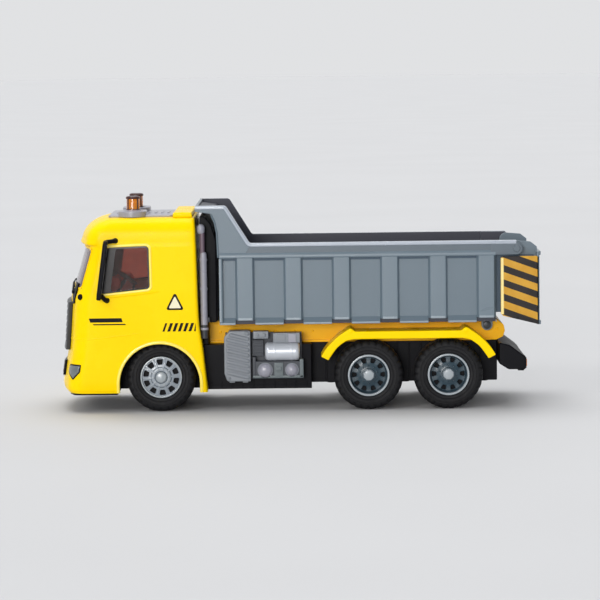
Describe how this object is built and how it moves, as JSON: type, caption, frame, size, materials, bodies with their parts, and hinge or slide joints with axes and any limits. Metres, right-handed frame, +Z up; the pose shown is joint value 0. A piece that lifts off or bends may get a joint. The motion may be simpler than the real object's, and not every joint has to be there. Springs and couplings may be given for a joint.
{
  "type": "toy dump truck",
  "caption": "Toy dump truck with a hollow cab, a ribbed load bed that tilts to the rear, a striped top-hinged tailgate and rolling wheels on steel rods.",
  "frame": {"origin": "on the ground, below the middle of the truck", "axes": "+X towards the nose of the cab, +Y to the left side of the truck, +Z up"},
  "size_m": [0.3634, 0.139, 0.1612],
  "materials": {
    "yellow": "glossy moulded plastic",
    "black": "satin black moulded plastic",
    "bed_grey": "satin blue-grey moulded plastic",
    "light_grey": "satin grey moulded plastic",
    "tyre": "matt black",
    "rim_grey": "satin silver-grey plastic",
    "steel": "bright rod",
    "screen": "clear tinted plastic",
    "interior": "matt dark plastic",
    "lamp_clear": "silvered lens",
    "lamp_red": "red lens",
    "lamp_orange": "translucent orange"
  },
  "bodies": {
    "chassis": {"chassis_frame": "yellow", "cab_shell": "yellow", "left_fender": "yellow", "right_fender": "yellow", "roof_box": "yellow", "chassis_pan": "black", "nose_tray": "black", "battery_cover": "black", "front_grille": "black", "lower_grille": "black", "wipers": "black", "left_mirror": "black", "right_mirror": "black", "rear_tower": "black", "rear_bumper": "black", "left_side_unit": "light_grey", "right_side_unit": "light_grey", "exhaust_stacks": "light_grey", "roof_plate": "light_grey", "windshield": "screen", "side_windows": "screen", "cab_floor": "interior", "dashboard": "interior", "driver_seat": "interior", "passenger_seat": "interior", "steering_wheel": "interior", "headlamps": "lamp_clear", "tail_lamps": "lamp_red", "beacons": "lamp_orange"},
    "front_wheels": {"front_axle": "steel", "front_rims": "rim_grey", "front_tyres": "tyre"},
    "middle_wheels": {"middle_axle": "steel", "middle_rims": "rim_grey", "middle_tyres": "tyre"},
    "rear_wheels": {"rear_axle": "steel", "rear_rims": "rim_grey", "rear_tyres": "tyre"},
    "bed": {"bed_tub": "bed_grey", "bed_pin": "steel"},
    "tailgate": {"tailgate": "bed_grey"}
  },
  "joints": [
    {"name": "front_wheels_roll", "type": "hinge", "parent": "chassis", "child": "front_wheels", "pos_m": [0.1043, 0, 0.026], "axis": [0, 1, 0], "continuous": true},
    {"name": "middle_wheels_roll", "type": "hinge", "parent": "chassis", "child": "middle_wheels", "pos_m": [-0.0516, 0, 0.026], "axis": [0, 1, 0], "continuous": true},
    {"name": "rear_wheels_roll", "type": "hinge", "parent": "chassis", "child": "rear_wheels", "pos_m": [-0.1115, 0, 0.026], "axis": [0, 1, 0], "continuous": true},
    {"name": "bed_tilt", "type": "hinge", "parent": "chassis", "child": "bed", "pos_m": [-0.142, 0, 0.061], "axis": [0, -1, 0], "range_deg": [0, 35]},
    {"name": "tailgate_swing", "type": "hinge", "parent": "bed", "child": "tailgate", "pos_m": [-0.163, 0, 0.1201], "axis": [0, 1, 0], "range_deg": [0, 75]}
  ]
}
